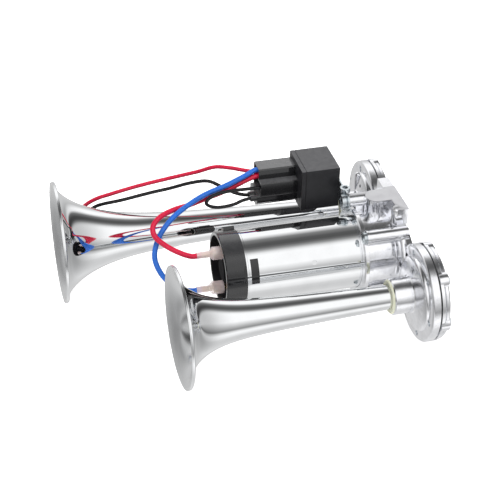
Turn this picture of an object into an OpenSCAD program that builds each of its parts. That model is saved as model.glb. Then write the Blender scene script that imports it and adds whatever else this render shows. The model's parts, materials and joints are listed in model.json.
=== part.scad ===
// Twin trumpet air horn: two diaphragm heads and a vane pump in one casting,
// driven by a motor, with its relay, socket and leads.
// X runs along the trumpets with the mouths at -X, +Z is up.
// The origin is the mouth of the mounting hole under the pump.

/* [Trumpets] */
// Distance between the two trumpet axes
trumpet_gap = 101; // [98:1:110]
// Height of the trumpet axes above the mounting face
trumpet_rise = 30; // [29:0.5:33]
// Distance from the mounting hole to the mouth of the long trumpet
long_reach = 190; // [175:0.5:220]
// Distance from the mounting hole to the mouth of the short trumpet
short_reach = 135; // [120:0.5:165]
// Outer radius of the long trumpet's mouth
long_mouth_r = 38.9; // [37:0.1:46]
// Outer radius of the short trumpet's mouth
short_mouth_r = 37.2; // [35:0.1:43]
// Outer radius of both tubes where they enter the heads
tube_r = 7; // [6.5:0.1:7.5]
// Sheet thickness of the trumpets
tube_wall = 0.8; // [0.6:0.1:1]
// Radius of the bead rolled on each mouth
bead_r = 1.1; // [0.8:0.1:1.5]
// Distance over which the long bell opens
long_flare = 21.7; // [19:0.1:24]
// Distance over which the short bell opens
short_flare = 13.9; // [12:0.1:16]
// Taper of the long tube, radius gained for each millimetre
long_taper = 0.03; // [0.02:0.002:0.036]
// Taper of the short tube, radius gained for each millimetre
short_taper = 0.038; // [0.03:0.002:0.044]
// Radius gained over the last millimetres of the long bell
long_lip = 4.2; // [3:0.1:5]
// Radius gained over the last millimetres of the short bell
short_lip = 6.7; // [5:0.1:7.5]
// Angle by which the long trumpet and its head turn outwards
long_splay = 1.1; // [0:0.1:1.5]

/* [Heads] */
// Distance from the mounting hole to the left face of the head flanges
head_x = 12; // [11:0.5:14]
// Radius of the head flanges
head_r = 30.3; // [29:0.1:31]
// Thickness of the cast head flange
head_t = 5; // [4.5:0.1:6]
// Length of the socket that holds a trumpet
socket_len = 16.5; // [15:0.5:20]
// Outer radius of that socket
socket_r = 11.3; // [11:0.1:12.5]
// Distance of the diaphragm chamber's wall from the flange's edge
chamber_inset = 8.8; // [8.6:0.1:10]
// Thickness of the diaphragm
diaphragm_t = 0.4; // [0.3:0.1:0.6]
// Thickness of the head gasket
gasket_t = 0.6; // [0.5:0.1:1]
// Thickness of the head cap at its rim
cap_t = 5.6; // [5:0.1:7]
// Screws in each head
head_screws = 6; // [5:1:8]
// Distance of the head screws from the flange's edge
head_screw_inset = 4.9; // [4.7:0.1:5.2]
// Radius of a head screw's shank
head_screw_r = 1.7; // [1.5:0.1:2]
// Projection of the rubber seal out of the socket
seal_lip = 1; // [1:0.5:3]

/* [Pump] */
// Height of the motor axis above the trumpet axes
motor_rise = 1.5; // [0:0.5:3]
// Radius of the cast pump drum
drum_r = 25.5; // [25:0.1:27]
// Distance from the mounting hole to the drum's left face
drum_left = 9.5; // [9:0.5:11]
// Radius of the pump chamber
bore_r = 16; // [15.5:0.1:16.5]
// Distance of the pump chamber's axis above the motor axis
bore_offset = 2.2; // [1.8:0.1:2.4]
// Depth of the pump chamber
bore_depth = 12; // [10:0.5:12]
// Vanes in the pump rotor
vane_count = 4; // [3:1:6]
// Thickness of the motor flange
flange_t = 3; // [2.5:0.5:5]
// Radius of the motor flange
flange_r = 28; // [27:0.5:29]
// Radius of the circle of flange screws
flange_screw_circle = 30.5; // [30:0.5:31.5]
// Radius of a flange screw's shank
flange_screw_r = 1.9; // [1.6:0.1:2.1]
// Height of the top bar above the trumpet axes
bar_rise = 38; // [36:0.5:41]
// Radius of the hole for the mounting bolt
mount_hole_r = 3.4; // [2.6:0.1:4.3]
// Depth of the hole for the mounting bolt
mount_hole_depth = 12; // [8:0.5:12]
// Radius of the mounting boss
mount_boss_r = 9; // [8:0.5:11]

/* [Motor] */
// Outer radius of the motor can
can_r = 23.2; // [22.5:0.1:24]
// Sheet thickness of the motor can
can_wall = 1.1; // [0.8:0.1:1.3]
// Length of the motor can
can_len = 75.5; // [68:0.5:84]
// Length of the end cap's rim outside the can
end_cap_len = 13; // [11:0.5:16]
// Radius of the motor shaft
shaft_r = 2.5; // [2:0.1:3]
// Radius of the armature
armature_r = 14.6; // [13.5:0.1:15]
// Running gap around the armature
air_gap = 0.8; // [0.5:0.1:1]
// Distance of the terminals from the motor axis
terminal_off = 13; // [11:0.5:14]

/* [Relay] */
// Side of the relay's square body
relay_side = 28; // [27:0.5:30]
// Height of the relay above its base
relay_len = 24.8; // [24:0.2:28]
// Length of the relay socket
relay_socket_len = 24; // [22:0.5:28]

/* [Leads] */
// Diameter of the two motor leads
motor_lead_d = 3.4; // [2.8:0.1:3.6]
// Diameter of the red supply lead
red_supply_d = 2.6; // [2.2:0.1:3]
// Diameter of the black supply lead
black_supply_d = 2.3; // [2:0.1:2.6]
// Diameter of the black loop
loop_d = 2.2; // [1.8:0.1:2.4]

/* [Hidden] */
$fn = 72;

// Clearances: a sliding fit, a running fit and the overshoot of a cut
slip = 0.15;
run_gap = 0.05;
over = 1;

motor_z = trumpet_rise + motor_rise;
rear_y = trumpet_gap/2;
front_y = -trumpet_gap/2;

// Stations along a bell, from the mouth, as shares of its length
stations = [0, 0.006, 0.015, 0.03, 0.05, 0.08, 0.12, 0.17, 0.24, 0.34, 0.5, 0.74, 1];
lip_len = 2.4;
tube_seat = 3.5;
tube_end = head_x - tube_seat;

socket_x = head_x - socket_len;
sleeve_wall = 1.6;
sleeve_r = tube_r + sleeve_wall;
seal_r = socket_r - 0.7;
head_screw_circle = head_r - head_screw_inset;
chamber_r = head_r - chamber_inset;
head_step_r = chamber_r + 1.9;
head_step_t = 3.6;
flange_round = 1.7;
stud_r = 2;
stud_x = head_x - 2.5;
stud_y = rear_y + 5.5;
stud_top = trumpet_rise + 21;
vent_r = 1.1;
vent_y = rear_y - 1.8;
vent_z = trumpet_rise + 16.9;
nozzle_wall = 2;
chamber_depth = 3;
head_face = head_x + head_t;
cap_x = head_face + diaphragm_t + gasket_t;
cap_ring_t = 2.4;
cap_groove_t = 0.6;
cap_cavity = 1.6;
cap_end = cap_x + cap_t;
cap_room = 1;
cap_dome = 1.6;
dome_r = head_r - 10.3;
lug_r = 5.4;
head_screw_head_r = 3;
head_screw_head_t = 2;
first_screw = 71;

drum_right = head_x - 2;
drum_seam = -6;
drum_step = 0.5;
drum_rim = 1.2;
plate_r = 21.8;
plate_t = 2;
bore_x = -drum_left + plate_t;
rotor_r = bore_r - bore_offset - 0.3;
rotor_gap = 0.2;
vane_t = 2;
vane_depth = 5.8;
port_r = 2.5;
gallery_x = head_x + 2.2;
gallery_z = motor_z + 14.5;
gallery_reach = rear_y - 14.5;
intake_angle = -45;
rib_r = 4.5;
ear_r = 4.8;
ear_t = 1.5;
ear_x = -drum_left - ear_t;
rib_end = head_face - 1;
flange_x = -drum_left - flange_t;
flange_recess = 2;
can_x = flange_x + flange_recess;
first_flange_screw = 42;
flange_screw_head_r = 3.7;
flange_screw_head_t = 2.3;
flange_screw_end = 6;

bar_top = trumpet_rise + bar_rise;
bar_front = -14.5;
bar_rear = 23.8;
bar_left = head_x - 1;
bar_right = head_face + 1.2;
bar_low = motor_z + drum_r - 0.5;
bar_step_y = bar_rear - 11.5;
bar_step = 0.6;
web_inset = 20;
web_high = motor_z + drum_r - 7.5;
web_shoulder = motor_z + drum_r - 2.5;
web_low = motor_z - drum_r + 6.5;
web_foot = motor_z - drum_r - 0.5;
web_foot_y = 14;
gusset_r = 1.9;
gusset_y = trumpet_gap/2 - 18;
gusset_z = trumpet_rise + 12;
gusset_len = 12.5;
gusset_turn = 28.6;
block_r = 6.7;
block_x = 3.1;
block_y = 4;
block_low = motor_z + drum_r - 6;
recess_left = block_x - 3.4;
recess_w = bar_left - recess_left;
recess_depth = 1.3;
recess_drop = 1.4;
pillar_r = 3.2;
pillar_y = bar_front + pillar_r;
pillar_low = bar_low + 1.5;
pillar_top = bar_top - 2.5;

bracket_boss_r = 4.2;
bracket_boss_y = 9;
bracket_boss_z = bar_top - bracket_boss_r - 0.2;
bracket_boss_x = -14;
bracket_screw_end = -5;
bracket_t = 1.2;
bracket_x = bracket_boss_x - bracket_t;
bracket_eye_r = 6.8;
bracket_hole_r = 2.6;
bracket_bush_y = bracket_boss_y + 5;
bracket_bush_r = 3.3;
bracket_bush_hole_r = 1.7;
bracket_bush_t = 3;
bracket_screw_r = 2.4;
bracket_screw_head_r = 4.6;
bracket_screw_head_t = 3;

can_left = can_x - can_len;
can_inner = can_r - can_wall;
cup_r = 6.2;
cup_len = 6;
bush_r = 4.5;
end_cap_r = can_r + 0.3;
end_cap_left = can_left - end_cap_len;
end_cap_wall = 2.4;
end_cap_floor = can_left - 8;
floor_t = 3;
spigot_len = 8;
boss_r = 7;
window_low = 5;
window_arc = 39;
window_left = can_left + 2.5;
window_w = 5;
notch_turn = 233;
notch_arc = 7;
dimple_r = 1.6;
dimple_x = can_left + 42.5;
dimple_turn = 26;
crescent_r = 9;
crescent_depth = 2.2;
crescent_turn = 156;
tab_len = 7;
tab_w = 5;
tab_turn = -35;
brush_room = 24;
fan_room = 18;
shaft_left = end_cap_floor - 1;
shaft_right = bore_x + bore_depth - rotor_gap - 1;
stack_left = can_left + brush_room;
stack_right = can_x - fan_room;
winding_len = 5.5;
winding_r = armature_r - 1.2;
magnet_r = armature_r + air_gap;
magnet_arc = 128;
commutator_left = can_left + 4;
commutator_len = 11;
commutator_r = 6;
card_x = can_left + 1;
card_t = 1.6;
brush_w = 4;
brush_len = 8;
brush_gap = 0.3;
spring_w = brush_w + 1;
spring_t = 0.5;
brush_x = commutator_left + 3.5;
blade_w = 6.3;
blade_t = 0.8;
blade_left = end_cap_left - 2;
terminal_y = -1;
spade_len = 6;
spade_grip = 4.5;
spade_w = 7.2;
spade_t = 2.2;
lead_end_x = -110;
sleeve_left = lead_end_x - 3;
sleeve_len = 17;
sleeve_or = 4.2;
sleeve_t = 0.35;
neck_r = motor_lead_d/2 + 0.45;
neck_len = 8;

relay_x = bracket_x;
relay_left = relay_x - relay_len;
relay_y = 21.5;
relay_z = 52.3;
relay_seam = 3;
plug_left = relay_left - relay_socket_len;
plug_back = relay_y + relay_side - 1.5;
plug_top = relay_z + relay_side - 3.5;
plug_inset = 8.9;
plug_front = relay_y + plug_inset;
step_y = plug_front + 5.6;
step_z = plug_top - 7;
strip_z = step_z - 9.2;
strip_low = strip_z - 4.8;
strip_out = 2.2;
foot_y = plug_front + 4.1;
foot_z = relay_z + 0.1;
pocket_depth = 2.5;
rim = 0.6;
lead_start = plug_left + pocket_depth;
seal_start = plug_left - strip_out;
seal_len = 4;
wire_seal_r = 2.1;

// Routes of the leads, chosen by hand
lower_lead_z = motor_z - terminal_off;
upper_lead_z = motor_z + terminal_off;
blue_route = [
    [lead_start, 40.5, 74.4], [-65.5, 40.5, 74.4], [-72, 38.2, 72.8], [-85.5, 36, 68.5], [-99, 33, 66],
    [-110.5, 28, 63.5], [-122, 21.5, 60], [-130, 17, 54], [-135, 13, 47], [-137, 9, 40], [-135, 5, 32.5],
    [-130, 2, 25.5], [-123, 0, 20.5], [-116, terminal_y, lower_lead_z],
    [lead_end_x, terminal_y, lower_lead_z]
];
red_route = [
    [lead_start, 39, 70.8], [-65.5, 39, 70.8], [-72, 38.5, 69], [-85.5, 36.5, 64.5], [-99, 35, 61.5],
    [-110, 31, 61], [-121.5, 26, 62], [-131, 20, 62], [-136, 17, 58], [-136, 13, 53.5], [-131, 8, 49.5],
    [-124, 3, 46.5], [-116, terminal_y, upper_lead_z], [lead_end_x, terminal_y, upper_lead_z]
];
loop_route = [
    [lead_start, 33, 66], [-65.5, 33, 66], [-73.5, 33, 66], [-80, 32.5, 66.5], [-87, 32, 66.5],
    [-93.5, 31, 66], [-98, 30, 64], [-99.5, 29.5, 61.5], [-97, 29.5, 59], [-90.5, 30, 57], [-81, 31, 57.2],
    [-76, 32.2, 58.2], [-71, 33, 58.6], [seal_start, 33, 58.6]
];
red_supply_route = [
    [lead_start, 43, 72], [-65.5, 43, 72], [-71, 44, 73], [-79, 48, 73.5], [-88, 54, 72], [-98, 59, 67],
    [-112, 64, 62], [-127.5, 67, 58], [-140, 70, 54], [-153, 72, 50], [-162, 74, 46.5], [-169, 76.5, 41],
    [-173, 79.5, 33], [-174, 82, 22], [-172, 87, 10], [-168, 92, -1], [-160, 96, -6.6], [-148, 98, -6.3],
    [-134, 98, -5.4]
];
black_supply_route = [
    [seal_start, 38, 58.4], [-71, 38, 58.4], [-75.5, 38.4, 59.4], [-80, 39.5, 61], [-85.5, 42, 63.5],
    [-94, 47, 66.5], [-104.5, 53, 63], [-116, 60, 56.5], [-128.5, 63, 53], [-147.5, 67, 47.5],
    [-161, 71.5, 43], [-167, 76, 36], [-168, 80, 25], [-165, 82, 13], [-158, 86, 2], [-148, 88, -5.6],
    [-134, 88, -5.8], [-120, 88, -4.9]
];

function horn_bloom(len, mouth, taper, lip) = mouth - tube_r - taper*len - lip;
function horn_r(s, len, mouth, taper, flare, lip) =
    tube_r + taper*(len - s) + horn_bloom(len, mouth, taper, lip)*exp(-s/flare) + lip*exp(-s/lip_len);
function horn_slope(s, len, mouth, taper, flare, lip) =
    -taper - horn_bloom(len, mouth, taper, lip)/flare*exp(-s/flare) - lip/lip_len*exp(-s/lip_len);

// Frames of a swept lead: directions between route points and a ring of points
function unit(v) = v/norm(v);
function tangent(p, i) =
    i == 0 ? unit(p[1] - p[0]) :
    i == len(p) - 1 ? unit(p[i] - p[i - 1]) :
    unit(unit(p[i + 1] - p[i]) + unit(p[i] - p[i - 1]));
function lead_ring(p, i, r, sides) =
    let (
        t = tangent(p, i),
        side = unit(cross(t, [0, 1, 0.2])),
        rise = cross(side, t)
    )
    [for (k = [0:sides - 1]) p[i] + r*(cos(360*k/sides)*side + sin(360*k/sides)*rise)];

// Points of a quarter round from [0, -r] to [r, 0]
function quarter(r) = [for (a = [0:22.5:90]) [r*sin(a), -r*cos(a)]];

// Turns a profile of [radius, x] points about the X axis
module spin_x() {
    rotate([0, 90, 0]) rotate_extrude() children();
}

module x_rod(r, left, right) {
    translate([left, 0, 0]) rotate([0, 90, 0]) cylinder(r = r, h = right - left);
}

module at_motor() {
    translate([0, 0, motor_z]) children();
}

module at_head(y) {
    translate([0, y, trumpet_rise]) rotate([0, 0, y > 0 ? -long_splay : 0]) children();
}

// Places children on a circle about the X axis, from a first angle above +Y
module ring_x(count, radius, first) {
    for (k = [0:count - 1])
        let (a = first + 360*k/count)
            translate([0, radius*cos(a), radius*sin(a)]) children();
}

module trumpet(reach, mouth, taper, flare, lip) {
    len = reach + tube_end;
    outer = [for (u = stations) [horn_r(u*len, len, mouth, taper, flare, lip), u*len - reach]];
    inner = [
        for (u = stations)
            let (m = horn_slope(u*len, len, mouth, taper, flare, lip), n = sqrt(1 + m*m))
                [
                    horn_r(u*len, len, mouth, taper, flare, lip) - tube_wall/n,
                    min(u*len - reach + tube_wall*m/n, tube_end)
                ]
    ];
    spin_x() polygon(concat(outer, [for (k = [len(inner) - 1:-1:0]) inner[k]]));
    spin_x() translate([mouth - bead_r, bead_r/2 - reach]) circle(r = bead_r, $fn = 32);
}

module long_trumpet() {
    color("gainsboro") at_head(rear_y) trumpet(long_reach, long_mouth_r, long_taper, long_flare, long_lip);
}

module short_trumpet() {
    color("gainsboro") at_head(front_y)
        trumpet(short_reach, short_mouth_r, short_taper, short_flare, short_lip);
}

// Rubber seal: a sleeve in the socket with a flange against its mouth
module trumpet_seal(y, taper) {
    color("cornsilk") at_head(y) spin_x() {
        polygon([
            [tube_r + taper*(tube_end - socket_x + seal_lip) + slip, socket_x - seal_lip],
            [seal_r - 0.8, socket_x - seal_lip],
            [seal_r, socket_x - seal_lip + 0.8],
            [seal_r, socket_x],
            [sleeve_r, socket_x],
            [sleeve_r, tube_end],
            [tube_r + slip, tube_end]
        ]);
    }
}

module long_trumpet_seal() {
    trumpet_seal(rear_y, long_taper);
}

module short_trumpet_seal() {
    trumpet_seal(front_y, short_taper);
}

// Cast body of one head: trumpet socket, stepped face and screw flange
module head_body() {
    spin_x() polygon([
        [0, socket_x],
        [socket_r - 0.6, socket_x],
        [socket_r, socket_x + 0.6],
        [socket_r, head_x - head_step_t - 1],
        [socket_r + 0.6, head_x - head_step_t - 0.3],
        [socket_r + 2, head_x - head_step_t],
        [head_step_r - 2, head_x - head_step_t + 1.4],
        [head_step_r - 0.6, head_x - head_step_t + 2],
        [head_step_r, head_x - 0.8],
        [head_step_r + 0.2, head_x],
        each [for (p = quarter(flange_round)) [p.x + head_r - flange_round, p.y + head_x + flange_round]],
        [head_r, head_face],
        [0, head_face]
    ]);
}

// Hollows of one head: seal seat, throat and ring chamber round the nozzle
module head_hollows() {
    throat_r = tube_r - tube_wall;
    x_rod(sleeve_r + slip, socket_x - over, tube_end);
    x_rod(throat_r, tube_end - over, head_face + over);
    difference() {
        x_rod(chamber_r, head_face - chamber_depth, head_face + over);
        x_rod(throat_r + nozzle_wall, head_face - chamber_depth - over, head_face + 2*over);
    }
    ring_x(head_screws, head_screw_circle, first_screw)
        x_rod(head_screw_r + slip, head_x - over, head_face + over);
}

// Web between the drum and the heads, and the bar along its top
module web() {
    translate([bar_left, 0, 0]) rotate([90, 0, 90])
        linear_extrude(head_face - bar_left)
            polygon([
                [front_y + web_inset, web_high], [bar_front - 6, web_shoulder], [bar_front, bar_low],
                [bar_front, bar_top], [bar_step_y, bar_top], [bar_step_y, bar_top - bar_step],
                [bar_rear, bar_top - bar_step], [bar_rear, bar_low], [rear_y - web_inset, web_high],
                [rear_y - web_inset, web_low], [web_foot_y, web_foot], [-web_foot_y, web_foot],
                [front_y + web_inset, web_low]
            ]);
    translate([head_face - over, bar_front, bar_low])
        cube([bar_right - head_face + over, bar_step_y - bar_front, bar_top - bar_low]);
    translate([head_face - over, bar_step_y - over, bar_low])
        cube([bar_right - head_face + over, bar_rear - bar_step_y + over, bar_top - bar_step - bar_low]);
    for (s = [-1, 1])
        translate([bar_left, s*gusset_y, gusset_z]) rotate([s*gusset_turn, 0, 0])
            round_pin(gusset_r, gusset_len);
}

// Upright pin with round ends
module round_pin(r, h) {
    rotate_extrude() polygon([
        each quarter(r),
        each [for (k = [4:-1:0]) let (p = quarter(r)[k]) [p.x, h - p.y]]
    ]);
}

// Round ended block on the bar's left side, with a recess down its front
module top_block() {
    block_h = bar_top - block_low;
    difference() {
        translate([block_x, block_y, block_low]) {
            cylinder(r = block_r, h = block_h);
            translate([0, -block_r, 0]) cube([bar_left - block_x + over, 2*block_r, block_h]);
        }
        translate([recess_left, block_y - block_r - over, block_low - over])
            cube([recess_w, recess_depth + over, block_h + over - recess_drop]);
    }
    translate([recess_left + pillar_r, block_y - block_r + pillar_r, block_low])
        cylinder(r = pillar_r - 0.5, h = block_h - over);
    translate([bar_left + 0.3, pillar_y, pillar_low]) round_pin(pillar_r, pillar_top - pillar_low);
}

// Screw boss for the relay bracket, with a rib down to the drum
module bracket_boss() {
    block_left = block_x - block_r;
    translate([0, bracket_boss_y, bracket_boss_z])
        x_rod(bracket_boss_r, bracket_boss_x, block_x);
    translate([-drum_left + 1, bracket_boss_y - 1.5, motor_z + drum_r - 3])
        cube([drum_left + block_left + 1, 3, bracket_boss_z - motor_z - drum_r + 3]);
}

module manifold() {
    color("lightgray") difference() {
        union() {
            at_head(rear_y) head_body();
            at_head(front_y) head_body();
            at_motor() x_rod(drum_r, -drum_left, drum_seam);
            at_motor() x_rod(drum_r - drum_step, drum_seam - over, drum_right + over);
            at_motor() x_rod(drum_r + drum_step, drum_right - drum_rim, drum_right + over);
            at_motor() ring_x(4, flange_screw_circle, first_flange_screw)
                x_rod(rib_r, -drum_left, rib_end);
            web();
            top_block();
            bracket_boss();
            translate([stud_x, stud_y, trumpet_rise + socket_r - over])
                round_pin(stud_r, stud_top - trumpet_rise - socket_r + over);
            cylinder(r = mount_boss_r, h = motor_z - bore_r);
        }
        at_head(rear_y) head_hollows();
        at_head(front_y) head_hollows();
        // Room for the turned cap in front of the web
        at_head(rear_y) x_rod(head_r + cap_room, head_face, cap_end);
        at_motor() x_rod(plate_r + slip, -drum_left - over, bore_x);
        translate([0, 0, motor_z + bore_offset]) x_rod(bore_r, bore_x - over, bore_x + bore_depth);
        at_motor() ring_x(4, flange_screw_circle, first_flange_screw)
            x_rod(flange_screw_r + slip, -drum_left - over, flange_screw_end + over);
        translate([0, 0, gallery_z]) x_rod(port_r, bore_x + bore_depth - over, gallery_x);
        translate([gallery_x, gallery_reach, gallery_z]) rotate([90, 0, 0])
            cylinder(r = port_r, h = 2*gallery_reach);
        translate([bore_x + bore_depth/2, 0, motor_z]) rotate([intake_angle, 0, 0])
            rotate([-90, 0, 0]) translate([0, 0, bore_r - 3]) cylinder(r = port_r, h = drum_r);
        translate([0, bracket_boss_y, bracket_boss_z])
            x_rod(bracket_screw_r + slip, bracket_boss_x - over, bracket_screw_end + over);
        translate([0, vent_y, vent_z]) x_rod(vent_r, socket_x, head_x - 0.8);
        translate([0, 0, -over]) cylinder(r = mount_hole_r, h = mount_hole_depth + over);
    }
}

module diaphragm(y) {
    color("silver") at_head(y) difference() {
        x_rod(head_r - 1.6, head_face, head_face + diaphragm_t);
        ring_x(head_screws, head_screw_circle, first_screw)
            x_rod(head_screw_r + slip, head_face - over, head_face + diaphragm_t + over);
    }
}

module rear_diaphragm() {
    diaphragm(rear_y);
}

module front_diaphragm() {
    diaphragm(front_y);
}

module gasket(y) {
    color("dimgray") at_head(y) difference() {
        x_rod(head_r - 1.6, head_face + diaphragm_t, cap_x);
        x_rod(chamber_r, head_face, cap_x + over);
        ring_x(head_screws, head_screw_circle, first_screw)
            x_rod(head_screw_r + slip, head_face, cap_x + over);
    }
}

module rear_gasket() {
    gasket(rear_y);
}

module front_gasket() {
    gasket(front_y);
}

// Ringed cap that clamps the diaphragm, with a lug at each screw
module head_cap(y) {
    ring_end = cap_x + cap_ring_t;
    groove_end = ring_end + cap_groove_t;
    color("gainsboro") at_head(y) difference() {
        union() {
            spin_x() polygon([
                [0, cap_x], [head_r, cap_x], [head_r, ring_end - 0.4], [head_r - 0.4, ring_end],
                [head_r - 1.8, ring_end], [head_r - 1.8, groove_end], [head_r - 0.9, groove_end],
                [head_r - 0.9, cap_end - 0.9], [head_r - 1.8, cap_end], [dome_r, cap_end],
                [dome_r - 2.5, cap_end - 1], [dome_r - 6, cap_end + cap_dome - 0.6],
                [dome_r - 11, cap_end + cap_dome], [0, cap_end + cap_dome]
            ]);
            ring_x(head_screws, head_screw_circle + 0.4, first_screw) x_rod(lug_r, cap_x, cap_end);
        }
        x_rod(chamber_r, cap_x - over, cap_x + cap_cavity);
        ring_x(head_screws, head_screw_circle, first_screw)
            x_rod(head_screw_r + slip, cap_x - over, cap_end + over);
    }
}

module rear_head_cap() {
    head_cap(rear_y);
}

module front_head_cap() {
    head_cap(front_y);
}

module head_screw_set(y) {
    color("silver") at_head(y) ring_x(head_screws, head_screw_circle, first_screw) difference() {
        union() {
            x_rod(head_screw_r, head_x + 0.8, cap_end + over);
            x_rod(head_screw_head_r, cap_end, cap_end + head_screw_head_t);
        }
        for (turn = [0, 90])
            translate([cap_end + head_screw_head_t, 0, 0]) rotate([turn, 0, 0])
                cube([2, 0.7, 3.4], center = true);
    }
}

module rear_head_screws() {
    head_screw_set(rear_y);
}

module front_head_screws() {
    head_screw_set(front_y);
}

module pump_plate() {
    color("darkgray") at_motor() difference() {
        x_rod(plate_r, -drum_left, bore_x);
        x_rod(shaft_r + 1, -drum_left - over, bore_x + over);
    }
}

module vane_slots(w, depth, left, right) {
    for (k = [0:vane_count - 1])
        rotate([360*k/vane_count, 0, 0])
            translate([left, -w/2, rotor_r - depth]) cube([right - left, w, depth + over]);
}

module pump_rotor() {
    left = bore_x + rotor_gap;
    right = bore_x + bore_depth - rotor_gap;
    color("dimgray") at_motor() difference() {
        x_rod(rotor_r, left, right);
        x_rod(shaft_r, left - over, shaft_right);
        vane_slots(vane_t + 2*run_gap, vane_depth + 0.3, left - over, right + over);
    }
}

module pump_vanes() {
    left = bore_x + rotor_gap;
    right = bore_x + bore_depth - rotor_gap;
    color("black") at_motor() intersection() {
        vane_slots(vane_t, vane_depth, left, right);
        x_rod(rotor_r, left, right);
    }
}

module intake_filter() {
    color("tan") translate([bore_x + bore_depth/2, 0, motor_z]) rotate([intake_angle, 0, 0])
        rotate([-90, 0, 0]) translate([0, 0, drum_r - 3.5]) cylinder(r = port_r - run_gap, h = 2.5);
}

// Flange that clamps the motor to the pump, with four screw ears
module motor_flange() {
    color("silver") at_motor() difference() {
        union() {
            spin_x() polygon([
                [0, flange_x], [flange_r - 0.8, flange_x], [flange_r, flange_x + 0.8],
                [flange_r, -drum_left], [0, -drum_left]
            ]);
            ring_x(4, flange_screw_circle, first_flange_screw) x_rod(ear_r, ear_x, -drum_left);
        }
        x_rod(can_r + slip, flange_x - over, can_x);
        x_rod(cup_r, can_x - over, -drum_left + over);
        ring_x(4, flange_screw_circle, first_flange_screw) {
            x_rod(flange_screw_r + slip, flange_x - over, -drum_left + over);
            x_rod(flange_screw_head_r + slip, flange_x - over, ear_x);
        }
    }
}

module flange_screws() {
    color("lightsteelblue") at_motor() ring_x(4, flange_screw_circle, first_flange_screw) difference() {
        union() {
            x_rod(flange_screw_r, ear_x - over, flange_screw_end);
            x_rod(flange_screw_head_r, ear_x - flange_screw_head_t, ear_x);
        }
        for (turn = [0, 90])
            translate([ear_x - flange_screw_head_t, 0, 0]) rotate([turn, 0, 0])
                cube([2.4, 0.9, 4.6], center = true);
    }
}

// Latch windows through the can near its left end
module can_windows(r_low, r_high, shrink) {
    for (side = [180 - window_low, 360 - window_low])
        rotate([side - window_arc + shrink, 0, 0])
            translate([window_left + shrink/8, 0, 0]) rotate([90, 0, 90])
                rotate_extrude(angle = window_arc - 2*shrink)
                    translate([r_low, 0]) square([r_high - r_low, window_w - shrink/4]);
}

module motor_can() {
    color("gainsboro") at_motor() difference() {
        spin_x() polygon([
            [can_r + 0.2, can_left], [can_r + 0.2, can_left + 1], [can_r, can_left + 1.2],
            [can_r, can_x - 1.2], [can_r - 1.2, can_x], [bush_r + 0.02, can_x],
            [bush_r + 0.02, can_x - cup_len], [cup_r - 0.4, can_x - cup_len],
            [cup_r - 0.4, can_x - can_wall], [can_inner, can_x - can_wall], [can_inner, can_left]
        ]);
        can_windows(can_inner - over, can_r + over, 0);
        rotate([notch_turn, 0, 0]) translate([window_left + 1, 0, 0]) rotate([90, 0, 90])
            rotate_extrude(angle = notch_arc)
                translate([can_inner - over, 0]) square([can_wall + 2*over, 4]);
        rotate([90 - dimple_turn, 0, 0]) translate([dimple_x, 0, can_r - 0.6])
            cylinder(r = dimple_r, h = over);
    }
}

// End cap: open rim, recessed floor, bearing boss and a spigot inside the can
module motor_end_cap() {
    color("#1c1c1e") at_motor() difference() {
        union() {
            spin_x() polygon([
                [end_cap_r - 0.6, end_cap_left], [end_cap_r, end_cap_left + 0.6],
                [end_cap_r, can_left], [can_inner - slip, can_left],
                [can_inner - slip, can_left + spigot_len], [can_inner - 2, can_left + spigot_len],
                [can_inner - 2, end_cap_floor + floor_t], [boss_r, end_cap_floor + floor_t],
                [boss_r, end_cap_floor + floor_t + 2], [bush_r + 0.02, end_cap_floor + floor_t + 2],
                [bush_r + 0.02, end_cap_floor - 2], [0, end_cap_floor - 2], [0, end_cap_floor - 3],
                [boss_r, end_cap_floor - 3], [boss_r, end_cap_floor],
                [end_cap_r - end_cap_wall, end_cap_floor], [end_cap_r - end_cap_wall, end_cap_left]
            ]);
            can_windows(can_inner - 1, can_r + 0.3, 1);
            rotate([tab_turn, 0, 0]) translate([can_left - tab_len, -tab_w/2, end_cap_r - 1])
                cube([tab_len, tab_w, 3]);
        }
        rotate([crescent_turn - 90, 0, 0])
            translate([can_left + crescent_r - crescent_depth, 0, can_inner + 0.3])
                cylinder(r = crescent_r, h = can_wall + 2);
        translate([end_cap_floor, 0, 0]) for (s = [-1, 1])
            translate([floor_t/2, terminal_y, s*terminal_off])
                cube([floor_t + 2, blade_w + 2*slip, blade_t + 2*slip], center = true);
    }
}

module magnet(s) {
    color("#3a3a3c") at_motor() rotate([s*90 - magnet_arc/2, 0, 0]) translate([stack_left - 2, 0, 0])
        rotate([90, 0, 90]) rotate_extrude(angle = magnet_arc)
            translate([magnet_r, 0])
                square([can_inner - magnet_r - run_gap, stack_right - stack_left + 4]);
}

module upper_magnet() {
    magnet(1);
}

module lower_magnet() {
    magnet(-1);
}

module motor_shaft() {
    color("lightgray") at_motor() x_rod(shaft_r, shaft_left, shaft_right);
}

module armature_core() {
    slots = 7;
    color("slategray") at_motor() difference() {
        x_rod(armature_r, stack_left, stack_right);
        x_rod(shaft_r, stack_left - over, stack_right + over);
        for (k = [0:slots - 1])
            rotate([360*k/slots, 0, 0]) translate([stack_left - over, -0.8, armature_r - 3])
                cube([stack_right - stack_left + 2*over, 1.6, 3 + over]);
    }
}

module armature_winding() {
    color("peru") at_motor() for (x = [stack_left - winding_len, stack_right])
        difference() {
            x_rod(winding_r, x, x + winding_len);
            x_rod(shaft_r + 0.5, x - over, x + winding_len + over);
        }
}

module commutator() {
    color("darkorange") at_motor() difference() {
        x_rod(commutator_r, commutator_left, commutator_left + commutator_len);
        x_rod(shaft_r, commutator_left - over, commutator_left + commutator_len + over);
        for (k = [0:6])
            rotate([360*k/7, 0, 0]) translate([commutator_left - over, -0.3, commutator_r - 0.8])
                cube([commutator_len + 2*over, 0.6, 0.8 + over]);
    }
}

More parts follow.
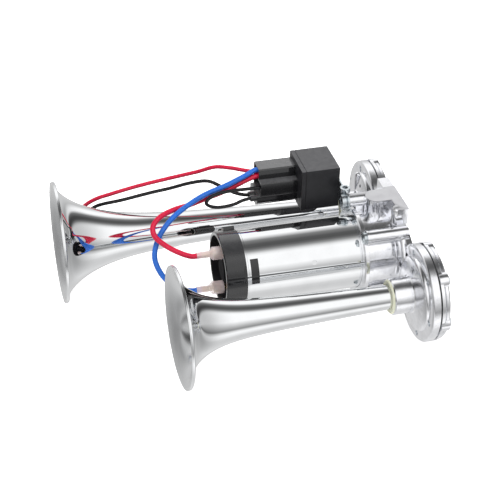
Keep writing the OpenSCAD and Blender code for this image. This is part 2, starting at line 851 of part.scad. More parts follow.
module bush(left, right) {
    color("darkgoldenrod") at_motor() difference() {
        x_rod(bush_r, left, right);
        x_rod(shaft_r + run_gap, left - over, right + over);
    }
}

module front_bearing() {
    bush(can_x - cup_len, can_x);
}

module rear_bearing() {
    bush(end_cap_floor - 2, end_cap_floor + floor_t + 2);
}

// Insulating card that carries the brushes inside the end cap
module brush_card() {
    color("saddlebrown") at_motor() difference() {
        x_rod(can_inner - 2 - slip, card_x, card_x + card_t);
        x_rod(boss_r + slip, card_x - over, card_x + card_t + over);
    }
}

module carbon_brushes() {
    color("#2b2b2b") at_motor() for (s = [-1, 1])
        translate([brush_x + brush_w/2, 0, s*(commutator_r + brush_gap + brush_len/2)])
            cube([brush_w, brush_w, brush_len], center = true);
}

module brush_springs() {
    left = card_x + card_t;
    right = brush_x + brush_w;
    height = commutator_r + brush_gap + brush_len + spring_t/2;
    color("gold") at_motor() for (s = [-1, 1])
        translate([(left + right)/2, 0, s*height]) cube([right - left, spring_w, spring_t], center = true);
}

module motor_terminals() {
    color("goldenrod") at_motor() for (s = [-1, 1])
        translate([(blade_left + card_x)/2, terminal_y, s*terminal_off])
            cube([card_x - blade_left, blade_w, blade_t], center = true);
}

// Crimped receptacle pushed over a terminal, with its barrel on the lead
module lead_spade(s) {
    mouth = blade_left + spade_grip;
    back = mouth - spade_len;
    color("gold") at_motor() translate([0, terminal_y, s*terminal_off]) difference() {
        union() {
            translate([back, -spade_w/2, -spade_t/2]) cube([spade_len, spade_w, spade_t]);
            x_rod(motor_lead_d/2, lead_end_x, back + over);
        }
        translate([blade_left - run_gap, -blade_w/2 - run_gap, -blade_t/2 - run_gap])
            cube([spade_len, blade_w + 2*run_gap, blade_t + 2*run_gap]);
    }
}

module upper_spade() {
    lead_spade(1);
}

module lower_spade() {
    lead_spade(-1);
}

// Clear sleeve with a neck round the lead and a wide end round the receptacle
module clear_sleeve(s) {
    shoulder = neck_len + 2;
    color("mistyrose") at_motor() translate([sleeve_left, terminal_y, s*terminal_off]) spin_x() polygon([
        [neck_r, 0], [neck_r, neck_len], [sleeve_or, shoulder], [sleeve_or, sleeve_len],
        [sleeve_or - sleeve_t, sleeve_len], [sleeve_or - sleeve_t, shoulder + 0.1],
        [neck_r - sleeve_t, neck_len + 0.1], [neck_r - sleeve_t, 0]
    ]);
}

module upper_sleeve() {
    clear_sleeve(1);
}

module lower_sleeve() {
    clear_sleeve(-1);
}

// Relay: cover and base, with a seam between them
module relay() {
    seam = 0.3;
    color("#2a2b2e") translate([relay_left, relay_y, relay_z]) {
        translate([relay_seam, 0, 0]) cube([relay_len - relay_seam, relay_side, relay_side]);
        translate([relay_seam - seam - over, seam, seam])
            cube([seam + 2*over, relay_side - 2*seam, relay_side - 2*seam]);
        cube([relay_seam - seam, relay_side, relay_side]);
    }
}

// Bracket: an eye on the casting's boss, a plate behind the relay and a bush on top
module relay_bracket() {
    low = bracket_boss_z - bracket_eye_r;
    high = bracket_boss_z + bracket_eye_r;
    color("lightsteelblue") difference() {
        union() {
            translate([0, bracket_boss_y, bracket_boss_z]) x_rod(bracket_eye_r, bracket_x, bracket_boss_x);
            translate([bracket_x, bracket_boss_y, low])
                cube([bracket_t, relay_y + relay_side - 6 - bracket_boss_y, high - low]);
            translate([bracket_boss_x, bracket_bush_y, high - bracket_bush_t])
                cylinder(r = bracket_bush_r, h = bracket_bush_t);
        }
        translate([0, bracket_boss_y, bracket_boss_z])
            x_rod(bracket_hole_r, bracket_x - over, bracket_boss_x + over);
        translate([bracket_boss_x, bracket_bush_y, high - bracket_bush_t - over])
            cylinder(r = bracket_bush_hole_r, h = bracket_bush_t + 2*over);
    }
}

module bracket_screw() {
    color("lightsteelblue") translate([0, bracket_boss_y, bracket_boss_z]) difference() {
        union() {
            x_rod(bracket_screw_r, bracket_x - over, bracket_screw_end);
            x_rod(bracket_screw_head_r, bracket_x - bracket_screw_head_t, bracket_x);
        }
        for (turn = [0, 90])
            translate([bracket_x - bracket_screw_head_t, 0, 0]) rotate([turn, 0, 0])
                cube([2.4, 1, 5.4], center = true);
    }
}

// Stepped socket on the relay's blades, with a pocket for the leads in its left end
// and a strip below that carries two wire seals
module relay_socket() {
    color("#17181a") {
        difference() {
            translate([plug_left, 0, 0]) rotate([90, 0, 90]) linear_extrude(relay_socket_len)
                polygon([
                    [plug_back, plug_top - 0.8], [plug_back - 0.8, plug_top], [step_y + 0.8, plug_top],
                    [step_y, plug_top - 0.8], [step_y, step_z], [plug_front + 0.6, step_z],
                    [plug_front, step_z - 0.6], [plug_front, strip_z + 0.6], [plug_front + 0.6, strip_z],
                    [plug_front + 0.6, strip_z - 1], [plug_back, strip_z - 1]
                ]);
            translate([plug_left - over, 0, 0]) rotate([90, 0, 90]) linear_extrude(pocket_depth + over)
                polygon([
                    [plug_back - rim, plug_top - 2*rim], [plug_back - 2*rim, plug_top - rim],
                    [step_y + rim, plug_top - rim], [step_y + rim, step_z - rim],
                    [plug_front + rim, step_z - rim], [plug_front + rim, strip_z + rim],
                    [plug_back - rim, strip_z + rim]
                ]);
        }
        translate([seal_start, 0, 0]) rotate([90, 0, 90]) linear_extrude(relay_socket_len + strip_out)
            polygon([
                [plug_back, strip_z], [plug_front + 1, strip_z], [plug_front + 0.4, strip_z - 0.6],
                [plug_front + 0.4, strip_low], [foot_y, foot_z], [plug_back, foot_z]
            ]);
        wire_seal(loop_route[len(loop_route) - 1], loop_d);
        wire_seal(black_supply_route[0], black_supply_d);
    }
}

module wire_seal(p, d) {
    translate([0, p.y, p.z]) difference() {
        x_rod(wire_seal_r, seal_start - seal_len, seal_start + over/2);
        x_rod(d/2 + 0.1, seal_start - seal_len - over, seal_start);
    }
}

// A lead: one tube with a ring of points at each point of its route
module lead(route, d) {
    sides = 8;
    last = len(route) - 1;
    rings = [for (i = [0:last]) each lead_ring(route, i, d/2, sides)];
    skin = [
        for (i = [0:last - 1])
            for (k = [0:sides - 1])
                let (a = i*sides + k, b = i*sides + (k + 1) % sides)
                    each [[a, b, b + sides], [a, b + sides, a + sides]]
    ];
    polyhedron(
        points = rings,
        faces = concat(
            skin,
            [[for (k = [sides - 1:-1:0]) k]],
            [[for (k = [0:sides - 1]) last*sides + k]]
        )
    );
}

module blue_motor_lead() {
    color("royalblue") lead(blue_route, motor_lead_d);
}

module red_motor_lead() {
    color("crimson") lead(red_route, motor_lead_d);
}

module black_loop_lead() {
    color("#141414") lead(loop_route, loop_d);
}

module red_supply_lead() {
    color("crimson") lead(red_supply_route, red_supply_d);
}

module black_supply_lead() {
    color("#141414") lead(black_supply_route, black_supply_d);
}

// Ring terminal on the end of a supply lead, barrel towards -X
module ring_terminal(route, d) {
    tip = route[len(route) - 1];
    color("silver") translate(tip) difference() {
        union() {
            x_rod(d/2 + 0.4, 0, 6);
            translate([5, -3, -0.5]) cube([5, 6, 1]);
            translate([12, 0, -0.5]) cylinder(r = 5, h = 1);
        }
        translate([12, 0, -1.5]) cylinder(r = 2.7, h = 3);
    }
}

module red_ring_terminal() {
    ring_terminal(red_supply_route, red_supply_d);
}

module black_ring_terminal() {
    ring_terminal(black_supply_route, black_supply_d);
}

long_trumpet();
short_trumpet();
long_trumpet_seal();
short_trumpet_seal();
manifold();
rear_diaphragm();
front_diaphragm();
rear_gasket();
front_gasket();
rear_head_cap();
front_head_cap();
rear_head_screws();
front_head_screws();
pump_plate();
pump_rotor();
pump_vanes();
intake_filter();
motor_flange();
flange_screws();
motor_can();
motor_end_cap();
upper_magnet();
lower_magnet();
motor_shaft();
armature_core();
armature_winding();
commutator();
front_bearing();
rear_bearing();
brush_card();
carbon_brushes();
brush_springs();
motor_terminals();
upper_spade();
lower_spade();
upper_sleeve();
lower_sleeve();
relay();
relay_bracket();
bracket_screw();
relay_socket();
blue_motor_lead();
red_motor_lead();
black_loop_lead();
red_supply_lead();
black_supply_lead();
red_ring_terminal();
black_ring_terminal();
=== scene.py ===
import contextlib
import json
import math

import bmesh
import bpy
from mathutils import Matrix, Vector


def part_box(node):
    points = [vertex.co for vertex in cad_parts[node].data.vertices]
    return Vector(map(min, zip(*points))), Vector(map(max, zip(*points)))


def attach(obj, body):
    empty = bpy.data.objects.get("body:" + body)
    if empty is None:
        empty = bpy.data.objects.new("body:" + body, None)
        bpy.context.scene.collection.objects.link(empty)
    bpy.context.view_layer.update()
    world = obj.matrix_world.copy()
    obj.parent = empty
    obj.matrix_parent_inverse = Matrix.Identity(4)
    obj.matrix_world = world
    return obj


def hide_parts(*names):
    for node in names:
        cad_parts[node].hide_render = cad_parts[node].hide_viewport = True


# Looks of a twin trumpet air horn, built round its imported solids. Lengths are in metres.
bl_info = {
    "name": "Twin trumpet air horn",
    "version": (1, 0, 0),
    "blender": (4, 5, 0),
    "location": "View3D > Sidebar > Air horn",
    "description": "Builds the finished pieces of a twin trumpet air horn and the studio round it",
    "category": "Object",
}

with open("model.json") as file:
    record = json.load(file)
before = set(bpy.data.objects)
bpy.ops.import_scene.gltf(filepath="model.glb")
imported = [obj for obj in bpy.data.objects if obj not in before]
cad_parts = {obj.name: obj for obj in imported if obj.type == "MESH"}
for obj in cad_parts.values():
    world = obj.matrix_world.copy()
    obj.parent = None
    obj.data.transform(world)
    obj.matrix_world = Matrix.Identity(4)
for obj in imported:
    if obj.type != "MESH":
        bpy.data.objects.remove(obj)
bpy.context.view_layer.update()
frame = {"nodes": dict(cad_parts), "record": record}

MM = 0.001
TRUMPET_Z = 30 * MM
MOTOR_Z = 31.5 * MM
REAR_Y = 50.5 * MM
FRONT_Y = -50.5 * MM

# Edges that turn by more than the crease are rounded, and faces that turn by less than FLAT_ANGLE become one.
# These angles are in degrees.
CREASE = 32.0
CAST_CREASE = 34.0
FLAT_ANGLE = 0.4

# Distances below which vertices are merged, in a solid's copy and along the seam of a grown shape
WELD = 2e-6
SEAM = 1e-6

# How finely the trumpets are made. The power crowds the rings towards the mouth.
BELL_RINGS = 64
BELL_SIDES = 129
RING_CROWDING = 1.9
BEAD_SIDES = 20

# Screws. A shank reaches into its head by the lap, and the dome takes a share of the head's rise.
SHANK_LAP = 0.2 * MM
DOME_SHARE = 0.25
HEAD_POINTS = 40
HEAD_RINGS = 5
SHANK_POINTS = 24

# Rings of screws: the circle's radius, the first screw's angle in degrees, the radius and rise of a head,
# the radius of a shank, and the width, length and depth of a slot of the cross recess
HEAD_SCREWS = {
    "count": 6, "circle": 25.4 * MM, "first": 71, "head": 3 * MM, "rise": 2 * MM, "shank": 1.7 * MM,
    "slot": (0.7 * MM, 3.4 * MM, 1 * MM),
}
FLANGE_SCREWS = {
    "count": 4, "circle": 30.5 * MM, "first": 42, "head": 3.7 * MM, "rise": 2.3 * MM, "shank": 1.9 * MM,
    "slot": (0.9 * MM, 4.6 * MM, 1.2 * MM),
}

# Finishes: heights between which polish goes over to satin, the radius of the end cap's dull middle and the
#  width of its rim, and the pale grey of dust and painted sheen on upward faces
SATIN_HEIGHTS = (0.0672, 0.0677)
CAP_MIDDLE = 21.3 * MM
MIDDLE_RIM = 0.2 * MM
DUST_AND_SHEEN_COLOUR = (0.25, 0.25, 0.26)

# Ends of the motor leads, in millimetres as the routes are
LEAD_END_X = -110
TERMINAL_Y = -1
LOWER_LEAD_Z = 18.5
UPPER_LEAD_Z = 44.5

# Routes of the leads in millimetres, the same points as the solids follow
BLUE_ROUTE = [
    (-61.5, 40.5, 74.4), (-65.5, 40.5, 74.4), (-72, 38.2, 72.8), (-85.5, 36, 68.5), (-99, 33, 66), (-110.5, 28, 63.5),
    (-122, 21.5, 60), (-130, 17, 54), (-135, 13, 47), (-137, 9, 40), (-135, 5, 32.5), (-130, 2, 25.5),
    (-123, 0, 20.5), (-116, TERMINAL_Y, LOWER_LEAD_Z), (LEAD_END_X, TERMINAL_Y, LOWER_LEAD_Z),
]
RED_ROUTE = [
    (-61.5, 39, 70.8), (-65.5, 39, 70.8), (-72, 38.5, 69), (-85.5, 36.5, 64.5), (-99, 35, 61.5), (-110, 31, 61),
    (-121.5, 26, 62), (-131, 20, 62), (-136, 17, 58), (-136, 13, 53.5), (-131, 8, 49.5), (-124, 3, 46.5),
    (-116, TERMINAL_Y, UPPER_LEAD_Z), (LEAD_END_X, TERMINAL_Y, UPPER_LEAD_Z),
]
LOOP_ROUTE = [
    (-61.5, 33, 66), (-65.5, 33, 66), (-73.5, 33, 66), (-80, 32.5, 66.5), (-87, 32, 66.5), (-93.5, 31, 66),
    (-98, 30, 64), (-99.5, 29.5, 61.5), (-97, 29.5, 59), (-90.5, 30, 57), (-81, 31, 57.2), (-76, 32.2, 58.2),
    (-71, 33, 58.6), (-66.2, 33, 58.6),
]
RED_SUPPLY_ROUTE = [
    (-61.5, 43, 72), (-65.5, 43, 72), (-71, 44, 73), (-79, 48, 73.5), (-88, 54, 72), (-98, 59, 67), (-112, 64, 62),
    (-127.5, 67, 58), (-140, 70, 54), (-153, 72, 50), (-162, 74, 46.5), (-169, 76.5, 41), (-173, 79.5, 33),
    (-174, 82, 22), (-172, 87, 10), (-168, 92, -1), (-160, 96, -6.6), (-148, 98, -6.3), (-134, 98, -5.4),
]
BLACK_SUPPLY_ROUTE = [
    (-66.2, 38, 58.4), (-71, 38, 58.4), (-75.5, 38.4, 59.4), (-80, 39.5, 61), (-85.5, 42, 63.5), (-94, 47, 66.5),
    (-104.5, 53, 63), (-116, 60, 56.5), (-128.5, 63, 53), (-147.5, 67, 47.5), (-161, 71.5, 43), (-167, 76, 36),
    (-168, 80, 25), (-165, 82, 13), (-158, 86, 2), (-148, 88, -5.6), (-134, 88, -5.8), (-120, 88, -4.9),
]

# The camera, with its angles in degrees
CAMERA_PLACE = (-0.2710, -0.6884, 0.5344)
CAMERA_AZIMUTH = 15.6
CAMERA_ELEVATION = 34.53
CAMERA_ROLL = 1.18
SENSOR_WIDTH = 36

# The floor slopes down from under the heads to the mouths, just clear of the horn
FLOOR_REACH = 3.0
FLOOR_SLOPE = 0.0444
FLOOR_START_X = 0.0204
FLOOR_GAP = 0.0003

SOFT_BOX_SIDE = 1.6
SOFT_BOX_PLACE = (-0.1, -0.2, 1.3)

# The studio's brightness by the angle round the long axis, in degrees up from the horizon in front
ROOM_BANDS = [
    (-180, 0.6), (-165, 0.68), (-150, 0.6), (-125, 0.68), (-106, 0.8), (-87, 0.72), (-72, 0.7), (-60, 0.76),
    (-51, 0.95), (-36, 1.15), (-24, 0.75), (-18, 0.38), (-13, 0.34), (-5, 0.48), (1, 0.59), (9, 0.76),
    (16, 0.92), (25, 1.15), (60, 1.15), (66, 0.98), (71, 0.68), (76, 0.36), (83, 0.16), (90, 0.1), (99, 0.11),
    (113, 0.25), (121, 0.68), (130, 1.15), (150, 1.15), (168, 0.85), (180, 0.6),
]

# The ceiling lies further back for directions whose X part is above this, between these angles round the long
# axis, in radians
DRIFT_FROM = 0.34
DRIFT_RISE = (-0.17, 2.27)
DRIFT_FALL = (2.62, math.pi)

# X parts of a direction over which the room gets darker, towards the mouths and towards the heads
MOUTH_END = (0.35, 0.9)
HEAD_END = (0.5, 0.97)


# Properties

def colour_property(name, description, default):
    """A colour of a finish."""
    return bpy.props.FloatVectorProperty(
        name=name, description=description, default=default, subtype="COLOR", size=3, min=0, max=1)


def length_property(name, description, default):
    """A length in metres."""
    return bpy.props.FloatProperty(
        name=name, description=description, default=default, min=0, max=1, unit="LENGTH", subtype="DISTANCE",
        precision=5)


class HornSizes(bpy.types.PropertyGroup):
    """Sizes of the dressed pieces."""

    long_reach: length_property("Long reach", "From the mounting hole to the long trumpet's mouth", 0.190)
    short_reach: length_property("Short reach", "From the mounting hole to the short trumpet's mouth", 0.135)
    long_mouth: length_property("Long mouth", "Outer radius of the long trumpet's mouth", 0.0389)
    short_mouth: length_property("Short mouth", "Outer radius of the short trumpet's mouth", 0.0372)
    long_flare: length_property("Long flare", "Distance over which the long bell opens", 0.0217)
    short_flare: length_property("Short flare", "Distance over which the short bell opens", 0.0139)
    long_lip: length_property("Long lip", "Radius gained over the last millimetres of the long bell", 0.0042)
    short_lip: length_property("Short lip", "Radius gained over the last millimetres of the short bell", 0.0067)
    lip_length: length_property("Lip length", "Distance over which the lips open", 0.0024)
    long_taper: bpy.props.FloatProperty(
        name="Long taper", description="Radius gained along the long tube", default=0.03, min=0, max=0.1)
    short_taper: bpy.props.FloatProperty(
        name="Short taper", description="Radius gained along the short tube", default=0.038, min=0, max=0.1)
    long_splay: bpy.props.FloatProperty(
        name="Long splay", description="Angle by which the long trumpet turns outwards", default=math.radians(1.1),
        min=0, max=0.1, subtype="ANGLE", unit="ROTATION")
    tube_radius: length_property("Tube radius", "Outer radius of both tubes in the heads", 0.007)
    tube_end: length_property("Tube end", "Where both tubes end in the heads", 0.0085)
    bead_radius: length_property("Bead radius", "Radius of the bead rolled on each mouth", 0.0011)
    sheet: length_property("Sheet", "Sheet thickness of the trumpets", 0.0008)
    motor_lead: length_property("Motor lead", "Diameter of the two motor leads", 0.0034)
    red_supply: length_property("Red supply", "Diameter of the red supply lead", 0.0026)
    black_supply: length_property("Black supply", "Diameter of the black supply lead", 0.0023)
    loop: length_property("Loop", "Diameter of the black loop", 0.0022)
    cast_edge: length_property("Cast edge", "Rounding of the casting's edges", 0.0005)
    cap_edge: length_property("Cap edge", "Rounding of the head caps' edges", 0.0003)
    moulded_edge: length_property("Moulded edge", "Rounding of the moulded edges", 0.0004)
    metal_edge: length_property("Metal edge", "Rounding of the turned and pressed edges", 0.00018)


class HornColours(bpy.types.PropertyGroup):
    """Colours of the finishes."""

    chrome: colour_property("Chrome", "Mirror chrome of the trumpets and the motor can", (0.86, 0.87, 0.88))
    casting: colour_property("Casting", "Polished casting", (0.93, 0.935, 0.96))
    satin: colour_property("Satin", "Satin top faces of the casting", (0.70, 0.70, 0.72))
    zinc: colour_property("Zinc", "Bluish zinc plate", (0.68, 0.73, 0.76))
    relay: colour_property("Relay", "Relay case", (0.011, 0.011, 0.013))
    socket: colour_property("Socket", "Relay socket", (0.006, 0.006, 0.007))
    cap: colour_property("End cap", "Motor end cap", (0.007, 0.007, 0.008))
    crimson: colour_property("Crimson", "Red insulation", (0.62, 0.008, 0.05))
    blue: colour_property("Blue", "Blue insulation", (0.02, 0.14, 0.58))
    black: colour_property("Black", "Black insulation", (0.004, 0.004, 0.005))
    seal: colour_property("Seal", "Cream rubber seal", (0.64, 0.65, 0.51))
    sleeve: colour_property("Sleeve", "Clear sleeve", (0.95, 0.80, 0.80))


class StudioLook(bpy.types.PropertyGroup):
    """The studio: floor, light and camera."""

    floor: colour_property("Floor", "Colour of the floor", (0.93, 0.93, 0.93))
    walls: bpy.props.FloatProperty(name="Walls", description="Brightness of the white walls", default=1.0, min=0)
    fill: bpy.props.FloatProperty(
        name="Fill", description="Share of the room's light that falls on dull surfaces", default=0.5, min=0, max=1)
    end_shade: bpy.props.FloatProperty(
        name="End shade", description="Share of light missing at both ends of the long axis", default=0.47, min=0,
        max=1)
    ceiling_drift: bpy.props.FloatProperty(
        name="Ceiling drift", description="How far the dark ceiling lies further back beyond the heads",
        default=math.radians(85), min=0, max=3, subtype="ANGLE", unit="ROTATION")
    soft_box: bpy.props.FloatProperty(
        name="Soft box", description="Power of the light overhead", default=24, min=0, unit="POWER")
    lens: bpy.props.FloatProperty(
        name="Lens", description="Focal length of the camera", default=101.08, min=1, unit="CAMERA")


# Node trees

class Term:
    """One socket of a node tree, with the arithmetic of plain numbers."""

    def __init__(self, tree, socket):
        self.tree = tree
        self.socket = socket

    def output(self, key):
        """Another output of the same node."""
        return Term(self.tree, self.socket.node.outputs[key])

    def maths(self, operation, *others):
        return self.tree.add("ShaderNodeMath", {"operation": operation}, dict(enumerate((self, *others))))

    def after(self, operation, first):
        return self.tree.add("ShaderNodeMath", {"operation": operation}, {0: first, 1: self})

    def __add__(self, other):
        return self.maths("ADD", other)

    def __radd__(self, other):
        return self.after("ADD", other)

    def __sub__(self, other):
        return self.maths("SUBTRACT", other)

    def __rsub__(self, other):
        return self.after("SUBTRACT", other)

    def __mul__(self, other):
        return self.maths("MULTIPLY", other)

    def __rmul__(self, other):
        return self.after("MULTIPLY", other)

    def __truediv__(self, other):
        return self.maths("DIVIDE", other)

    def __rtruediv__(self, other):
        return self.after("DIVIDE", other)

    def __pow__(self, other):
        return self.maths("POWER", other)

    def __rpow__(self, other):
        return self.after("POWER", other)

    def __neg__(self):
        return self.maths("MULTIPLY", -1.0)

    def __gt__(self, other):
        return self.maths("GREATER_THAN", other)

    def step(self, start, end):
        """0 below start, 1 above end, smooth between them."""
        return self.tree.add(
            "ShaderNodeMapRange", {"interpolation_type": "SMOOTHSTEP"},
            {"Value": self, "From Min": start, "From Max": end})


def set_stops(ramp, stops):
    """Gives a colour ramp its stops, from pairs of place and colour."""
    while len(ramp.elements) > 1:
        ramp.elements.remove(ramp.elements[-1])
    for index, (place, shade) in enumerate(stops):
        stop = ramp.elements[0] if index == 0 else ramp.elements.new(place)
        stop.position = place
        stop.color = (*shade, 1)


class Tree:
    """A node tree of a material, the world or a shape, and the ways nodes are added to it."""

    def __init__(self, node_tree):
        self.node_tree = node_tree

    def add(self, kind, settings=None, values=None, out=0):
        """Adds a node, makes its settings, fills its sockets and returns one of its outputs."""
        node = self.node_tree.nodes.new(kind)
        for name, value in (settings or {}).items():
            if name == "stops":
                set_stops(node.color_ramp, value)
            else:
                setattr(node, name, value)
        for key, value in (values or {}).items():
            socket = node.inputs[key]
            if isinstance(value, tuple) and isinstance(value[0], Term):
                for term in value:
                    self.node_tree.links.new(term.socket, socket)
            elif isinstance(value, Term):
                self.node_tree.links.new(value.socket, socket)
            elif value is not None:
                socket.default_value = value
        return Term(self, node.outputs[out]) if node.outputs else None

    def coordinates(self):
        return self.add("ShaderNodeTexCoord", out="Object")

    def vector(self, x=None, y=None, z=None):
        """A vector of the given parts, with 0 for what is left out."""
        return self.add("ShaderNodeCombineXYZ", None, {0: x, 1: y, 2: z})

    def split(self, vector):
        """The three parts of a vector."""
        parts = self.add("ShaderNodeSeparateXYZ", None, {0: vector})
        return [parts.output(index) for index in range(3)]

    def moved(self, shape, translation=None, rotation=None):
        """A shape turned and then moved."""
        return self.add(
            "GeometryNodeTransform", None, {"Geometry": shape, "Translation": translation, "Rotation": rotation})

    def boolean(self, operation, values):
        """A union or difference of closed shapes."""
        return self.add("GeometryNodeMeshBoolean", {"operation": operation, "solver": "MANIFOLD"}, values)

    def noise(self, scale, detail=3.0):
        return self.add(
            "ShaderNodeTexNoise", None, {"Vector": self.coordinates(), "Scale": scale, "Detail": detail})

    def patches(self, scale, start, end, detail=3.0):
        """Soft patches: 0 where the noise is below start, 1 where it is above end."""
        return self.noise(scale, detail).step(start, end)

    def rising(self, base, by, scale, start, end, detail=3.0):
        """A number that grows from its base in patches."""
        return base + self.patches(scale, start, end, detail) * by

    def shade(self, factor, dark, light):
        """Mixes two colours."""
        def filled(colour):
            return colour if isinstance(colour, Term) else (*colour, 1)
        return self.add("ShaderNodeMix", {"data_type": "RGBA"}, {0: factor, 6: filled(dark), 7: filled(light)}, out=2)

    def mottled(self, tint, share, scale, start, end, detail=3.0):
        """A tint that goes over to a share of itself in patches."""
        return self.shade(self.patches(scale, start, end, detail), tint, scaled(tint, share))

    def bump(self, height, distance, strength, normal=None):
        return self.add(
            "ShaderNodeBump", None, {"Height": height, "Distance": distance, "Strength": strength, "Normal": normal})


# Finishes

def scaled(colour, share):
    """A colour made darker, or lighter with a share above 1."""
    return tuple(part * share for part in colour)


def new_finish(name, constants, **varying):
    """A material with one Principled shader: constants by socket name, varying ones by function of its tree."""
    material = bpy.data.materials.new(name)
    material.use_nodes = True
    material.node_tree.nodes.clear()
    tree = Tree(material.node_tree)
    values = dict(constants)
    for socket, make in varying.items():
        values[socket.replace("_", " ")] = make(tree)
    shader = tree.add("ShaderNodeBsdfPrincipled", None, values)
    tree.add("ShaderNodeOutputMaterial", None, {"Surface": shader})
    return material


def mirror_chrome(name, tint, haze=0.025):
    """Mirror chrome with faint smudges and the slow waves of pressed sheet."""
    return new_finish(
        name, {"Metallic": 1.0},
        Base_Color=lambda t: t.mottled(tint, share=0.95, scale=90, start=0.3, end=0.8),
        Roughness=lambda t: t.rising(haze, by=0.035, scale=70, start=0.45, end=0.8),
        Normal=lambda t: t.bump(t.noise(55, detail=1.0), distance=0.0004, strength=0.06))


def polished_casting(name, tint, satin):
    """Polished casting: bright, a little wavy, with satin faces on top."""
    def top(t):
        return t.split(t.coordinates())[2].step(*SATIN_HEIGHTS)

    def waves(t):
        return t.bump(t.noise(130, detail=2.0), distance=0.0009, strength=0.13)

    return new_finish(
        name, {"Metallic": 1.0},
        Base_Color=lambda t: t.shade(top(t), t.mottled(tint, share=0.92, scale=220, start=0.35, end=0.75), satin),
        Roughness=lambda t: t.rising(0.11, by=0.09, scale=160, start=0.3, end=0.8) + top(t) * 0.3,
        Normal=lambda t: t.bump(t.noise(1500, detail=4.0), distance=0.00006, strength=0.4, normal=waves(t)))


def plated(name, tint, roughness=0.24, grain=400):
    """Plated or bare metal with fine grain and uneven tint."""
    return new_finish(
        name, {"Metallic": 1.0},
        Base_Color=lambda t: t.mottled(tint, share=0.82, scale=grain * 0.6, start=0.3, end=0.7),
        Roughness=lambda t: t.rising(roughness, by=0.12, scale=grain, start=0.3, end=0.8),
        Normal=lambda t: t.bump(t.noise(grain * 3), distance=0.00005, strength=0.4))


def moulded(name, tint, roughness, dust_and_sheen=0.0, grain=2200, gloss=0.0, middle=0.0):
    """Moulded plastic with fine grain, upward faces lightened by dust and a painted sheen, and a dull middle round
    the motor's axis.
    """
    def outside(t):
        if not middle:
            return 1.0
        _, across, up = t.split(t.coordinates())
        return ((across ** 2 + (up - MOTOR_Z) ** 2) ** 0.5).step(middle - MIDDLE_RIM, middle)

    def upward_dust_and_sheen(t):
        # Upward faces go over to a pale grey: partly settled dust, partly a painted sheen standing in for light from
        # above.
        up = t.split(t.add("ShaderNodeNewGeometry", out="Normal"))[2].step(0.6, 1.0)
        return up * (0.6 + t.noise(300, detail=4.0) * 0.8) * dust_and_sheen

    def rough(t):
        plain = t.rising(roughness, by=0.15, scale=250, start=0.35, end=0.8, detail=4.0)
        return plain + (1 - outside(t)) * 0.6 if middle else plain

    return new_finish(
        name, {"Specular IOR Level": 0.5 - gloss * 0.3, "Coat Roughness": 0.07},
        Coat_Weight=lambda t: outside(t) * gloss,
        Base_Color=lambda t: t.shade(
            upward_dust_and_sheen(t), t.mottled(tint, share=1.35, scale=120, start=0.3, end=0.7), DUST_AND_SHEEN_COLOUR),
        Roughness=rough,
        Normal=lambda t: t.bump(t.noise(grain, detail=2.0), distance=0.00005, strength=0.45 - gloss * 0.4))


def insulation(name, tint):
    """Soft plastic insulation of a lead."""
    return new_finish(
        name, {"Coat Roughness": 0.05, "IOR": 1.5, "Specular IOR Level": 0.15},
        Base_Color=lambda t: t.mottled(tint, share=0.82, scale=160, start=0.3, end=0.8),
        Roughness=lambda t: t.rising(0.35, by=0.12, scale=400, start=0.3, end=0.8),
        Coat_Weight=lambda t: t.rising(0.6, by=0.2, scale=90, start=0.4, end=0.8),
        Normal=lambda t: t.bump(t.noise(650, detail=2.0), distance=0.00005, strength=0.12))


def cream_rubber(name, tint):
    """Soft, slightly translucent rubber of a seal."""
    return new_finish(
        name, {"Subsurface Weight": 0.15, "Subsurface Radius": (0.002, 0.0015, 0.001)},
        Base_Color=lambda t: t.mottled(tint, share=0.86, scale=260, start=0.35, end=0.75, detail=4.0),
        Roughness=lambda t: 0.5 + t.noise(300) * 0.2,
        Normal=lambda t: t.bump(t.noise(900), distance=0.0001, strength=0.4))


def clear_sleeve_finish(name, tint, cloud=(0.96, 0.88, 0.88)):
    """Soft clear sleeve, tinted and a little cloudy."""
    return new_finish(
        name, {"IOR": 1.5, "Specular IOR Level": 0.8},
        Base_Color=lambda t: t.shade(t.patches(scale=120, start=0.35, end=0.7, detail=2.0), tint, cloud),
        Roughness=lambda t: t.rising(0.05, by=0.05, scale=300, start=0.3, end=0.8),
        Alpha=lambda t: t.rising(0.36, by=0.14, scale=90, start=0.4, end=0.7, detail=1.0),
        Normal=lambda t: t.bump(t.noise(110, detail=1.0), distance=0.0004, strength=0.2))


